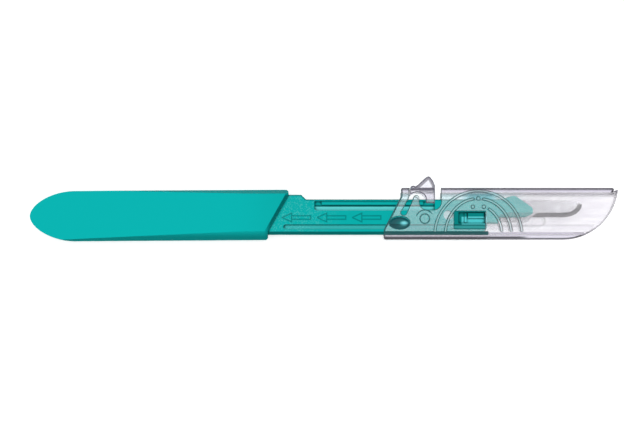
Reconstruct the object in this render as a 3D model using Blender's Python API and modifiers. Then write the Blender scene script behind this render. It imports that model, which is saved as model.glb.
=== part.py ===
"""A disposable scalpel lying on its side: a one-piece moulded handle, a small steel blade, a clear
blade shield that slides along the stem, and the thumb lever that releases it.

The object is modelled along +X, from the tip of the grip to the nose, with the spine side at +Y and
the mid-plane of the handle at Z = 0. An empty then carries it to its resting place on the floor.
"""

import math

import bmesh
import bpy
from mathutils import Matrix, Vector

MM = 0.001

# Grip
GRIP_LENGTH = 77.6 * MM
GRIP_HEIGHT = 15.0 * MM
GRIP_RISE = 0.4 * MM
GRIP_END_LENGTH = 13.2 * MM
GRIP_END_POWER = 1.8
GRIP_SLANT = 6.2 * MM
GRIP_TOE = 2.6 * MM
GRIP_BROW = 1.4 * MM
GRIP_TAIL_HALF = 1.0 * MM
GRIP_RIM_HALF = 1.45 * MM
GRIP_LAND = 7.0 * MM
GRIP_TOP_BEVEL = 1.3 * MM
GRIP_BOTTOM_BEVEL = 2.4 * MM
GRIP_FRONT_BEVEL = 0.75 * MM
GRIP_CORNER = 0.95 * MM
EDGE_BREAK = 0.2 * MM

# Stem and nose
STEM_LENGTH = 73.2 * MM
STEM_TOP = 4.95 * MM
STEM_BOTTOM = -5.55 * MM
STEM_HALF = 2.4 * MM
STEM_EDGE = 0.4 * MM
STEM_FOOT_EDGE = 0.87 * MM
SHOULDER_LENGTH = 3.8 * MM
SHOULDER_HEIGHT = 1.4 * MM
HEEL_BACK = 13.8 * MM
HEEL_RADIUS = 2.7 * MM
LIP_BACK = 10.1 * MM
LIP_DROP = 1.9 * MM
NOSE_UNDERSIDE = -0.36 * MM
NOSE_HALF = 1.5 * MM
NOSE_TAPER = 7.0 * MM
NOSE_CHAMFER_HEIGHT = 1.4 * MM
NOSE_CHAMFER_DEPTH = 0.8 * MM
HUMP_BACK = 6.4 * MM
HUMP_HEIGHT = 1.05 * MM
HUMP_RUN = 3.3 * MM
CHEEK_DROP = 2.45 * MM
NOSE_SWEEP = 2.4 * MM
NOSE_SWEEP_RISE = 1.1 * MM
NOSE_SWEEP_RADIUS = 2.0 * MM
NOSE_TIP_RADIUS = 0.9 * MM
NOSE_BROW_RADIUS = 0.5 * MM
HUMP_LENGTH = 1.1 * MM
HUMP_RADIUS = 0.9 * MM
HUMP_FOOT_RADIUS = 3.0 * MM
SHOULDER_RADIUS = 0.7 * MM
LIP_RADIUS = 0.45 * MM

# Grooves of the stem
CHANNEL_TOP = 4.44 * MM
CHANNEL_HEIGHT = 2.85 * MM
CHANNEL_DEPTH = 1.2 * MM
RAIL_WIDTH = 1.05 * MM
RAIL_DROP = 0.45 * MM
RAIL_GAP = 0.75 * MM
CHANNEL_LEAD = 2.2 * MM
CHANNEL_CORNER = 0.75 * MM
GROOVE_DEPTH = 0.8 * MM
GROOVE_START = 4.6 * MM
STEM_HOLE_RADIUS = 1.45 * MM
STEM_HOLE_BACK = 1.7 * MM
STEM_HOLE_Y = 0.24 * MM
BUMP_INSET = 0.25 * MM
BUMP_HEIGHT = 0.4 * MM

# Blade
BLADE_THICKNESS = 0.4 * MM
BLADE_SPINE = 4.9 * MM
TANG_HEIGHT = 6.75 * MM
TANG_LENGTH = 20.3 * MM
BLADE_LENGTH = 36.6 * MM
BLADE_REACH = 14.75 * MM
BLADE_HEIGHT = 5.2 * MM
BLADE_BEVEL = 1.35 * MM
BELLY_LENGTH = 5.8 * MM
BELLY_HEIGHT = 3.85 * MM
CHOIL_LENGTH = 1.6 * MM
CHOIL_RADIUS = 2.2 * MM
HEEL_BREAK = 0.25 * MM
TANG_CORNER = 0.4 * MM
TANG_SLANT = 1.4 * MM
POINT_LENGTH = 1.6 * MM
POINT_DROP = 0.55 * MM
POINT_RADIUS = 0.6 * MM
SPINE_KNEE = 5.0 * MM
SPINE_KNEE_DROP = 0.2 * MM
SPINE_KNEE_RADIUS = 6.0 * MM
SPINE_RUN = 11.0 * MM
BLADE_SLOT_START = 2.2 * MM
BLADE_SLOT_LENGTH = 15.0 * MM
BLADE_SLOT_HEIGHT = 2.6 * MM
BLADE_CLEARANCE = 0.15 * MM
BOSS_CLEARANCE = 0.2 * MM

# Recess behind the shield's window, with its bar and rib
WINDOW_DEPTH = 1.1 * MM
RECESS_LEAD = 1.3 * MM
RECESS_END = 0.6 * MM
RECESS_RIM = 0.15 * MM
RECESS_DROP = 0.45 * MM
RECESS_LEDGE = 0.3 * MM
RECESS_BAR_LEAD = 2.9 * MM
RECESS_BAR_END = 0.4 * MM
RECESS_BAR_HEIGHT = 1.45 * MM
RECESS_RIB_LEAD = 1.9 * MM
RECESS_RIB_WIDTH = 0.6 * MM

# Clear shield
SHIELD_LENGTH = 70.2 * MM
TIP_COVER = 10.65 * MM
SIDE_WALL = 0.9 * MM
SIDE_CLEARANCE = 0.6 * MM
TOP_WALL = 1.35 * MM
BOTTOM_WALL = 1.35 * MM
TOP_ROOM = 2.05 * MM
BOTTOM_CLEARANCE = 0.25 * MM
CAVITY_TOP_RADIUS = 0.85 * MM
CAVITY_BOTTOM_RADIUS = 1.1 * MM
SHIELD_EDGE = 0.5 * MM
OPENING_EDGE = 0.2 * MM
OUTLINE_CORNER = 0.6 * MM
SHIELD_SLANT = 5.2 * MM
SLANT_TOP_DROP = 2.5 * MM
SLANT_TOP_RADIUS = 1.0 * MM
SLANT_FOOT_RISE = 2.9 * MM
SLANT_FOOT_RADIUS = 0.8 * MM
FRONT_ARC_RADIUS = 16.6 * MM
RETRACTED_GAP = 2.0 * MM
GUIDE_HEIGHT = 1.2 * MM
GUIDE_CLEARANCE = 0.15 * MM
GUIDE_TIP_CLEARANCE = 0.3 * MM
GUIDE_END_CLEARANCE = 0.5 * MM
GUIDE_END_BACK = 7.5 * MM
PAD_BACK = 9.8 * MM
PAD_LENGTH = 13.2 * MM
PAD_TOP = -0.36 * MM
PAD_HEIGHT = 2.67 * MM
PAD_CLEARANCE = 0.08 * MM
PAD_CORNER = 0.4 * MM
RIDGE_WIDTH = 0.84 * MM
RIDGE_HEIGHT = 0.3 * MM
DOT_RADIUS = 0.63 * MM
RIDGE_X = 7.2 * MM
RIDGE_RADII = ((13.05 * MM, 13.2 * MM), (9.9 * MM, 10.95 * MM), (7.05 * MM, 8.7 * MM))
RIDGE_END_GAP = 1.5 * MM
INNER_RIDGE_END = 3.2 * MM
DOT_SPREAD = 1.65 * MM
DOT_DROP = 0.25 * MM
OVAL_X = 4.75 * MM
OVAL_Y = -2.1 * MM
OVAL_LENGTH = 6.2 * MM
OVAL_HEIGHT = 3.84 * MM
WINDOW_BACK = 9.9 * MM
WINDOW_LENGTH = 9.25 * MM
WINDOW_TOP = 1.32 * MM
WINDOW_HEIGHT = 5.25 * MM
MARK_X = 12.3 * MM
MARK_Y = -0.9 * MM
MARK_RADIUS = 1.6 * MM
MARK_DEPTH = 0.3 * MM
MARK_ARC_RADIUS = 2.6 * MM
MARK_ARC_WIDTH = 0.3 * MM

# Release lever and the opening round it
STRAP_LENGTH = 2.6 * MM
NECK_GAP = 0.15 * MM
NECK_PIVOT_DROP = 0.5 * MM
LEVER_LENGTH = 7.4 * MM
LEVER_UNDERSIDE = 7.0 * MM
LEVER_FOOT = 3.7 * MM
LEVER_EDGE = 0.3 * MM
LEVER_CORNER = 0.35 * MM
LEG_WIDTH = 2.7 * MM
ARCH_LEAD = 2.1 * MM
WEDGE_HALF = 2.8 * MM
WEDGE_EDGE = 0.5 * MM
WEDGE_CORNER = 0.6 * MM
WEDGE_TOP_RADIUS = 0.8 * MM
WEDGE_FOOT = 0.4 * MM
WEDGE_LEAN = 0.15 * MM
WEDGE_BROW_BACK = 0.5 * MM
WEDGE_BROW_HEIGHT = 2.2 * MM
WEDGE_TOP_BACK = 1.7 * MM
WEDGE_TOP_HEIGHT = 3.8 * MM
WEDGE_NAPE_BACK = 2.9 * MM
WEDGE_NAPE_HEIGHT = 3.0 * MM
WEDGE_ROOT_BACK = 5.1 * MM
WEDGE_ROOT_HEIGHT = 0.95 * MM
KNOT_DIP_BACK = 5.8 * MM
KNOT_DIP_HEIGHT = 0.5 * MM
KNOT_BACK = 6.4 * MM
KNOT_HEIGHT = 0.8 * MM
LUG_START = 0.2 * MM
LUG_WIDTH = 2.0 * MM
LUG_FOOT_CLEARANCE = 0.05 * MM
LUG_CLEARANCE = 0.3 * MM
LUG_TOP_CLEARANCE = 0.25 * MM
OPENING_LENGTH = 9.4 * MM
OPENING_FLOOR = 1.77 * MM
OPENING_RADIUS = 2.3 * MM
SLOT_LEAN = 3.1 * MM
SLOT_WIDTH = 1.9 * MM
SLOT_FOOT = 0.2 * MM
SLOT_RADIUS = 0.7 * MM
WEB_LEAD = 1.8 * MM
WEB_HALF = 0.95 * MM
WEB_HEIGHT = 1.25 * MM

ARC_STEP = math.radians(15)
MARGIN = 2.0 * MM
OVERLAP = 0.1 * MM

# Stations along the handle, worked out from the sizes above
NOSE_X = GRIP_LENGTH + STEM_LENGTH
TIP_X = NOSE_X + BLADE_REACH
SHIELD_FRONT_X = TIP_X + TIP_COVER
SHIELD_REAR_X = SHIELD_FRONT_X - SHIELD_LENGTH
GRIP_FOOT_X = GRIP_LENGTH - GRIP_SLANT
SLIDE_TRAVEL = SHIELD_REAR_X - GRIP_FOOT_X - RETRACTED_GAP
BLADE_REAR_X = TIP_X - BLADE_LENGTH
TANG_BOTTOM = BLADE_SPINE - TANG_HEIGHT
HEEL_X = NOSE_X - HEEL_BACK
LIP_X = NOSE_X - LIP_BACK
NECK_X = SHIELD_REAR_X + SHIELD_SLANT + STRAP_LENGTH + NECK_GAP
LEVER_FRONT_X = NECK_X + LEVER_LENGTH
LUG_REAR_X = LEVER_FRONT_X - LEG_WIDTH
ARCH_X = NECK_X + ARCH_LEAD
CHANNEL_REAR_X = LUG_REAR_X - SLIDE_TRAVEL - RAIL_GAP
CHANNEL_FRONT_X = LEVER_FRONT_X
RAIL_FRONT_X = LUG_REAR_X - RAIL_GAP
GROOVE_REAR_X = GRIP_FOOT_X + GROOVE_START
WINDOW_START_X = HEEL_X - WINDOW_BACK
BUMP_X = SHIELD_REAR_X + OVAL_X

# Half thicknesses from the mid-plane outwards
INNER_HALF = STEM_HALF + SIDE_CLEARANCE
SHIELD_HALF = INNER_HALF + SIDE_WALL
GRIP_HALF = SHIELD_HALF + RIDGE_HEIGHT
POCKET_HALF = BLADE_THICKNESS / 2 + BLADE_CLEARANCE
RAIL_FACE = STEM_HALF - RAIL_DROP

# Heights across the shield
CAVITY_TOP = STEM_TOP + TOP_ROOM
CAVITY_BOTTOM = STEM_BOTTOM - BOTTOM_CLEARANCE
SHIELD_TOP = CAVITY_TOP + TOP_WALL
SHIELD_BOTTOM = CAVITY_BOTTOM - BOTTOM_WALL
GUIDE_TOP = OVAL_Y - GUIDE_HEIGHT / 2
RIDGE_Y = CAVITY_BOTTOM
RIDGE_FOOT = CAVITY_BOTTOM + CAVITY_BOTTOM_RADIUS

TO_YZ = Matrix(((0, 0, 1, 0), (1, 0, 0, 0), (0, 1, 0, 0), (0, 0, 0, 1)))
TO_XZ = Matrix(((1, 0, 0, 0), (0, 0, -1, 0), (0, 1, 0, 0), (0, 0, 0, 1)))


def clear_scene():
    for obj in list(bpy.data.objects):
        bpy.data.objects.remove(obj, do_unlink=True)


def new_collection(name, hidden=False):
    collection = bpy.data.collections.new(name)
    bpy.context.scene.collection.children.link(collection)
    collection.hide_render = hidden
    return collection


clear_scene()
PARTS = new_collection("disposable_scalpel")
CUTTERS = new_collection("cutters", hidden=True)


def material(name, colour, roughness, metallic=0.0, clear=0.0):
    """A Principled material with the colour, roughness and metallic value of one piece."""
    made = bpy.data.materials.new(name)
    made.use_nodes = True
    shader = made.node_tree.nodes["Principled BSDF"]
    shader.inputs["Base Color"].default_value = (*colour, 1.0)
    shader.inputs["Roughness"].default_value = roughness
    shader.inputs["Metallic"].default_value = metallic
    shader.inputs["Transmission Weight"].default_value = clear
    return made


def add_object(name, mesh, helper=True):
    obj = bpy.data.objects.new(name, mesh)
    (CUTTERS if helper else PARTS).objects.link(obj)
    if helper:
        obj.hide_render = True
        obj.display_type = "WIRE"
    return obj


def rounded(corners):
    """The outline through these (x, y, radius) corners, each radius as an arc."""
    points = []
    for i, (x, y, radius) in enumerate(corners):
        here = Vector((x, y))
        if not radius:
            points.append(here)
            continue
        before = (Vector(corners[i - 1][:2]) - here).normalized()
        after = (Vector(corners[(i + 1) % len(corners)][:2]) - here).normalized()
        half = before.angle(after) / 2
        reach = radius / math.tan(half)
        centre = here + (before + after).normalized() * radius / math.sin(half)
        start = here + before * reach - centre
        end = here + after * reach - centre
        turn = -start.angle_signed(end)
        steps = max(1, round(abs(turn) / ARC_STEP))
        for k in range(steps + 1):
            points.append(centre + Matrix.Rotation(turn * k / steps, 2) @ start)
    return points


def ellipse(x, y, half_length, half_height, start=0.0, end=2 * math.pi, step=ARC_STEP):
    """Points along an ellipse. A whole turn leaves out its last point, which is its first."""
    count = max(3, round(abs(end - start) / step))
    whole = math.isclose(abs(end - start), 2 * math.pi)
    return [
        Vector((
            x + half_length * math.cos(start + (end - start) * k / count),
            y + half_height * math.sin(start + (end - start) * k / count),
        ))
        for k in range(count if whole else count + 1)
    ]


def curve_mesh(name, curve, matrix):
    """The welded mesh of a curve, placed by this matrix."""
    guide = bpy.data.objects.new(name, curve)
    CUTTERS.objects.link(guide)
    guide.matrix_world = matrix
    bpy.context.view_layer.update()
    graph = bpy.context.evaluated_depsgraph_get()
    mesh = bpy.data.meshes.new_from_object(guide.evaluated_get(graph))
    mesh.transform(matrix)
    bpy.data.objects.remove(guide)
    bpy.data.curves.remove(curve)
    mesh.name = name
    shape = bmesh.new()
    shape.from_mesh(mesh)
    bmesh.ops.remove_doubles(shape, verts=shape.verts, dist=0.002 * MM)
    bmesh.ops.recalc_face_normals(shape, faces=shape.faces)
    shape.to_mesh(mesh)
    shape.free()
    return mesh


def extruded(name, outlines, low, high, turn=None, helper=True, edge=0.0, grow=0.0, facets=1):
    """A flat outline, with any further ones as holes or islands, extruded from low to high.

    Its two rims are rounded by the size of edge, which no outward corner's radius is under, and grow
    moves the whole outline outwards.
    """
    curve = bpy.data.curves.new(name, "CURVE")
    curve.dimensions = "2D"
    curve.fill_mode = "BOTH"
    curve.extrude = (high - low) / 2 - edge
    curve.bevel_depth = edge
    curve.bevel_resolution = facets
    curve.offset = grow - edge
    for outline in outlines:
        spline = curve.splines.new("POLY")
        spline.points.add(len(outline) - 1)
        for point, corner in zip(spline.points, outline):
            point.co = (corner[0], corner[1], 0, 1)
        spline.use_cyclic_u = True
    lift = Matrix.Translation((0, 0, (low + high) / 2))
    mesh = curve_mesh(name, curve, (turn or Matrix()) @ lift)
    return add_object(name, mesh, helper)


def box(name, low, high):
    """A box between two corners, as a helper."""
    shape = bmesh.new()
    bmesh.ops.create_cube(shape, size=1.0)
    centre = (Vector(low) + Vector(high)) / 2
    size = Vector(high) - Vector(low)
    bmesh.ops.transform(shape, matrix=Matrix.LocRotScale(centre, None, size), verts=shape.verts)
    return helper_from(name, shape)


def ellipsoid(name, centre, radii, rings=11, segments=20):
    """A ball stretched to these radii. With an odd count, none of its rings lies in its middle plane."""
    shape = bmesh.new()
    bmesh.ops.create_uvsphere(shape, u_segments=segments, v_segments=rings, radius=1.0)
    place = Matrix.LocRotScale(Vector(centre), None, Vector(radii))
    bmesh.ops.transform(shape, matrix=place, verts=shape.verts)
    return helper_from(name, shape)


def helper_from(name, shape):
    mesh = bpy.data.meshes.new(name)
    shape.to_mesh(mesh)
    shape.free()
    return add_object(name, mesh)


def joined(name, pieces):
    """One helper holding several that don't touch each other."""
    shape = bmesh.new()
    for piece in pieces:
        shape.from_mesh(piece.data)
        bpy.data.objects.remove(piece)
    return helper_from(name, shape)


def boolean(target, other, operation="DIFFERENCE"):
    modifier = target.modifiers.new(other.name, "BOOLEAN")
    modifier.operation = operation
    modifier.solver = "EXACT"
    modifier.object = other


def bevelled(obj, width, angle=50.0, segments=1):
    """A Bevel modifier on the edges sharper than this angle."""
    modifier = obj.modifiers.new("Bevel", "BEVEL")
    modifier.width = width
    modifier.segments = segments
    modifier.limit_method = "ANGLE"
    modifier.angle_limit = math.radians(angle)
    modifier.use_clamp_overlap = True


def beyond(name, point, normal, size):
    """A cube whose one face passes through the point, so that a cut removes all beyond it."""
    normal = Vector(normal).normalized()
    shape = bmesh.new()
    bmesh.ops.create_cube(shape, size=size)
    bmesh.ops.translate(shape, vec=(0, 0, size / 2), verts=shape.verts)
    bmesh.ops.rotate(shape, matrix=normal.to_track_quat("Z", "Y").to_matrix(), verts=shape.verts)
    bmesh.ops.translate(shape, vec=point, verts=shape.verts)
    return helper_from(name, shape)


def finished(obj, surface, origin=(0, 0, 0)):
    """Gives the piece its material, smooth shading and its origin."""
    obj.data.materials.clear()
    obj.data.materials.append(surface)
    obj.data.transform(Matrix.Translation(-Vector(origin)))
    obj.location = origin
    obj.data.shade_smooth()
    obj.data.set_sharp_from_angle(angle=math.radians(30))


def grip_outline():
    """The tongue-shaped rear end and the slanted front, as the top view shows them."""
    half = GRIP_HEIGHT / 2
    power = 2 / GRIP_END_POWER
    end = []
    for k in range(1, 24):
        angle = math.pi * k / 24
        along = math.sin(angle) ** power
        across = math.copysign(abs(math.cos(angle)) ** power, math.cos(angle))
        end.append((GRIP_END_LENGTH * (1 - along), half * across))
    top = half + GRIP_RISE
    bottom = -half + GRIP_RISE
    front = rounded([
        (GRIP_END_LENGTH, -half, 0),
        (GRIP_FOOT_X, bottom, GRIP_CORNER),
        (GRIP_FOOT_X, bottom + GRIP_TOE, GRIP_CORNER),
        (GRIP_LENGTH, top - GRIP_BROW, GRIP_CORNER),
        (GRIP_LENGTH, top, GRIP_CORNER),
        (GRIP_END_LENGTH, half, 0),
    ])
    return front + [Vector(point) for point in end]


def grip():
    """The plan outline, the tapering side profile and the chamfered section, intersected."""
    blank = extruded("grip_plan", [grip_outline()], -GRIP_HALF, GRIP_HALF)
    shape = bmesh.new()
    shape.from_mesh(blank.data)
    front_rim = [
        edge for edge in shape.edges
        if all(vert.co.x > GRIP_FOOT_X - 0.6 * MM for vert in edge.verts)
        and edge.verts[0].co.z * edge.verts[1].co.z > 0
        and edge.calc_face_angle(0.0) > math.radians(60)
    ]
    bmesh.ops.bevel(
        shape, geom=front_rim, offset=GRIP_FRONT_BEVEL, segments=1, affect="EDGES", clamp_overlap=True
    )
    shape.to_mesh(blank.data)
    shape.free()

    # The slopes of the profile and the section run on past the faces that they meet.
    on = 1.25
    land_x = (GRIP_FOOT_X - GRIP_LAND) * on
    past = GRIP_LENGTH * on + MARGIN
    land = GRIP_TAIL_HALF + (GRIP_HALF - GRIP_TAIL_HALF) * on
    profile = [
        (-MARGIN, -GRIP_TAIL_HALF), (0, -GRIP_TAIL_HALF), (land_x, -land), (past, -land),
        (past, land), (land_x, land), (0, GRIP_TAIL_HALF), (-MARGIN, GRIP_TAIL_HALF),
    ]
    side = extruded("grip_side", [profile], -GRIP_HEIGHT, GRIP_HEIGHT, TO_XZ)

    rise = GRIP_HALF - GRIP_RIM_HALF
    thin = GRIP_RIM_HALF - rise * (on - 1)
    thick = GRIP_HALF + rise * (on - 1)
    top = GRIP_HEIGHT / 2 + GRIP_RISE
    bottom = top - GRIP_HEIGHT
    top_reach = GRIP_TOP_BEVEL * (on - 1)
    bottom_reach = GRIP_BOTTOM_BEVEL * (on - 1)
    section_points = [
        (top + top_reach, -thin), (top + top_reach, thin),
        (top - GRIP_TOP_BEVEL - top_reach, thick), (bottom + GRIP_BOTTOM_BEVEL + bottom_reach, thick),
        (bottom - bottom_reach, thin), (bottom - bottom_reach, -thin),
        (bottom + GRIP_BOTTOM_BEVEL + bottom_reach, -thick), (top - GRIP_TOP_BEVEL - top_reach, -thick),
    ]
    section = extruded("grip_section", [section_points], -MARGIN, past, TO_YZ)
    boolean(blank, side, "INTERSECT")
    boolean(blank, section, "INTERSECT")
    bevelled(blank, EDGE_BREAK, angle=22)
    return blank


def stem():
    """The slim front of the handle in outline, with rounded edges and a chamfered foot."""
    root = GRIP_FOOT_X - GRIP_LAND
    shoulder = STEM_TOP + SHOULDER_HEIGHT
    hump_x = NOSE_X - HUMP_BACK
    outline = rounded([
        (root, STEM_BOTTOM, 0),
        (HEEL_X, STEM_BOTTOM, HEEL_RADIUS),
        (HEEL_X, NOSE_UNDERSIDE - LIP_DROP, 0),
        (LIP_X, NOSE_UNDERSIDE - LIP_DROP, LIP_RADIUS),
        (LIP_X, NOSE_UNDERSIDE, 0),
        (NOSE_X - NOSE_SWEEP, NOSE_UNDERSIDE, NOSE_SWEEP_RADIUS),
        (NOSE_X, NOSE_UNDERSIDE + NOSE_SWEEP_RISE, NOSE_TIP_RADIUS),
        (NOSE_X - EDGE_BREAK, STEM_TOP - CHEEK_DROP, NOSE_BROW_RADIUS),
        (hump_x + HUMP_LENGTH, STEM_TOP + HUMP_HEIGHT, HUMP_RADIUS),
        (hump_x, STEM_TOP + HUMP_HEIGHT, HUMP_RADIUS),
        (hump_x - HUMP_RUN, STEM_TOP, HUMP_FOOT_RADIUS),
        (GRIP_LENGTH + SHOULDER_LENGTH + SHOULDER_HEIGHT, STEM_TOP, SHOULDER_RADIUS),
        (GRIP_LENGTH + SHOULDER_LENGTH, shoulder, SHOULDER_RADIUS),
        (root, shoulder, 0),
    ])
    blank = extruded("stem", [outline], -STEM_HALF, STEM_HALF, edge=STEM_EDGE)
    middle = (root + NOSE_X) / 2
    for side in (1, -1):
        point = (middle, STEM_BOTTOM, side * (STEM_HALF - STEM_FOOT_EDGE))
        boolean(blank, beyond("stem_foot", point, (0, -1, side), (NOSE_X - root) * 1.2))
    return blank


def channel_cutters(side):
    """The latch channel on one side: a shallow cut over all of it, and a deep one round the rail."""
    faces = sorted((side * RAIL_FACE, side * (STEM_HALF + MARGIN)))
    low = CHANNEL_TOP - CHANNEL_HEIGHT
    shallow = rounded([
        (CHANNEL_REAR_X, low, CHANNEL_CORNER), (CHANNEL_FRONT_X, low, EDGE_BREAK),
        (CHANNEL_FRONT_X, CHANNEL_TOP, 0), (CHANNEL_REAR_X, CHANNEL_TOP, EDGE_BREAK),
    ])
    yield extruded("channel_top", [shallow], *faces)

    floor = side * (STEM_HALF - CHANNEL_DEPTH)
    faces = sorted((floor, side * (RAIL_FACE + OVERLAP)))
    rail_rear = CHANNEL_REAR_X + CHANNEL_LEAD
    rail_low = CHANNEL_TOP - RAIL_WIDTH
    deep = rounded([
        (CHANNEL_REAR_X, low, CHANNEL_CORNER), (CHANNEL_FRONT_X, low, EDGE_BREAK),
        (CHANNEL_FRONT_X, CHANNEL_TOP, 0), (RAIL_FRONT_X, CHANNEL_TOP, 0),
        (RAIL_FRONT_X, rail_low, EDGE_BREAK), (rail_rear, rail_low, EDGE_BREAK),
        (rail_rear, CHANNEL_TOP, 0), (CHANNEL_REAR_X, CHANNEL_TOP, EDGE_BREAK),
    ])
    yield extruded("channel_floor", [deep], *faces)


def groove_cutter(side):
    """The lower guide groove, rounded at its rear and open at the heel."""
    top = GUIDE_TOP + GUIDE_CLEARANCE
    bottom = GUIDE_TOP - GUIDE_HEIGHT - GUIDE_CLEARANCE
    radius = (top - bottom) * 0.45
    outline = rounded([
        (GROOVE_REAR_X, bottom, radius), (HEEL_X + MARGIN, bottom, 0),
        (HEEL_X + MARGIN, top, 0), (GROOVE_REAR_X, top, radius),
    ])
    faces = sorted((side * (STEM_HALF - GROOVE_DEPTH), side * (STEM_HALF + MARGIN)))
    return extruded("groove", [outline], *faces)


def window_recess(side):
    """The recess that the shield's window looks into, round its raised bar and rib."""
    left = WINDOW_START_X + RECESS_LEAD
    right = HEEL_X - RECESS_END
    top = WINDOW_TOP - RECESS_RIM
    bottom = TANG_BOTTOM - RECESS_DROP
    recess = rounded([
        (left, bottom, EDGE_BREAK), (right, bottom, 0), (right, top, 0), (left, top, EDGE_BREAK),
    ])
    floor = STEM_HALF - WINDOW_DEPTH
    cutter = extruded("window_recess", [recess], *sorted((side * floor, side * (STEM_HALF + MARGIN))))
    foot = side * (floor - OVERLAP)
    ledge = top - RECESS_LEDGE
    low, high = sorted((foot, side * (floor + 0.7 * WINDOW_DEPTH)))
    bar_foot = (left + RECESS_BAR_LEAD, ledge - RECESS_BAR_HEIGHT, low)
    bar_piece = box("window_bar", bar_foot, (right - RECESS_BAR_END, ledge, high))
    low, high = sorted((foot, side * (floor + 0.4 * WINDOW_DEPTH)))
    rib_x = left + RECESS_RIB_LEAD
    rib_foot = (rib_x, bottom + RECESS_BAR_END, low)
    rib_piece = box("window_rib", rib_foot, (rib_x + RECESS_RIB_WIDTH, ledge, high))
    return cutter, bar_piece, rib_piece


def blade_pocket_cutter():
    """The slot between the cheeks that holds the tang, with the locating boss left standing."""
    rear = BLADE_REAR_X - BLADE_CLEARANCE
    bottom = TANG_BOTTOM - BLADE_CLEARANCE
    top = BLADE_SPINE + BLADE_CLEARANCE
    front = NOSE_X + MARGIN
    outline = [(rear, bottom), (front, bottom), (front, top), (rear, top)]
    boss = [Vector(point) for point in blade_slot_outline(BOSS_CLEARANCE)]
    return extruded("blade_pocket", [outline, boss], -POCKET_HALF, POCKET_HALF)


def blade_slot_outline(inset=0.0):
    """The slot of the tang, or the boss in it when it is inset."""
    start = BLADE_REAR_X + BLADE_SLOT_START + inset
    end = BLADE_REAR_X + BLADE_SLOT_START + BLADE_SLOT_LENGTH - inset
    middle = BLADE_SPINE - TANG_HEIGHT * 0.47
    half = BLADE_SLOT_HEIGHT / 2 - inset
    radius = half * 0.9
    return rounded([
        (start, middle - half, radius), (end, middle - half, radius),
        (end, middle + half, radius), (start, middle + half, radius),
    ])


def nose_chamfer_cutter(side):
    """A wedge along the lower edge of the nose, which follows the taper of its face."""
    slope = (STEM_HALF - NOSE_HALF) / NOSE_TAPER
    lean = NOSE_CHAMFER_DEPTH / NOSE_CHAMFER_HEIGHT
    shape = bmesh.new()
    for x in (LIP_X + EDGE_BREAK, NOSE_X + MARGIN):
        face = NOSE_HALF + (NOSE_X - x) * slope
        low = NOSE_UNDERSIDE - MARGIN / 4
        high = NOSE_UNDERSIDE + NOSE_CHAMFER_HEIGHT + MARGIN / 4
        for y, z in (
            (low, face - (NOSE_UNDERSIDE + NOSE_CHAMFER_HEIGHT - low) * lean), (low, face + MARGIN),
            (high, face + MARGIN), (high, face + (high - NOSE_UNDERSIDE - NOSE_CHAMFER_HEIGHT) * lean),
        ):
            shape.verts.new((x, y, side * z))
    bmesh.ops.convex_hull(shape, input=shape.verts)
    return helper_from("nose_chamfer", shape)


def handle():
    body = grip()
    boolean(body, stem(), "UNION")
    for side in (1, -1):
        for cutter in channel_cutters(side):
            boolean(body, cutter)
        bump = ellipsoid(
            "bump", (BUMP_X, OVAL_Y, side * STEM_HALF),
            (OVAL_LENGTH / 2 - BUMP_INSET, OVAL_HEIGHT / 2 - BUMP_INSET, BUMP_HEIGHT),
        )
        boolean(body, bump, "UNION")
        boolean(body, groove_cutter(side))
        recess, bar_piece, rib_piece = window_recess(side)
        boolean(body, recess)
        boolean(body, bar_piece, "UNION")
        boolean(body, rib_piece, "UNION")
        taper = beyond(
            "nose_taper", (NOSE_X - NOSE_TAPER, 0, side * STEM_HALF),
            (STEM_HALF - NOSE_HALF, 0, side * NOSE_TAPER), STEM_LENGTH / 2,
        )
        boolean(body, taper)
        boolean(body, nose_chamfer_cutter(side))
    hole_x = WINDOW_START_X - STEM_HOLE_BACK
    hole = extruded(
        "stem_hole", [ellipse(hole_x, STEM_HOLE_Y, STEM_HOLE_RADIUS, STEM_HOLE_RADIUS)],
        -STEM_HALF - MARGIN, STEM_HALF + MARGIN,
    )
    boolean(body, hole)
    boolean(body, blade_pocket_cutter())
    body.name = "handle"
    CUTTERS.objects.unlink(body)
    PARTS.objects.link(body)
    body.hide_render = False
    body.display_type = "TEXTURED"
    finished(body, material("teal_plastic", (0.0, 0.445, 0.413), 0.45))
    return body


def blade_edge(offset):
    """The cutting edge from its heel round the belly to the point, moved inwards by this much."""
    centre_x = TIP_X - BELLY_LENGTH
    edge_y = BLADE_SPINE - BLADE_HEIGHT
    centre_y = edge_y + BELLY_HEIGHT
    heel_x = BLADE_REAR_X + TANG_LENGTH + CHOIL_LENGTH + offset
    straight = [Vector((heel_x + (centre_x - heel_x) * k / 4, edge_y + offset)) for k in range(4)]
    belly = ellipse(
        centre_x, centre_y, BELLY_LENGTH - offset, BELLY_HEIGHT - offset,
        -math.pi / 2, -0.02, math.radians(9),
    )
    return straight + belly


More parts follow.
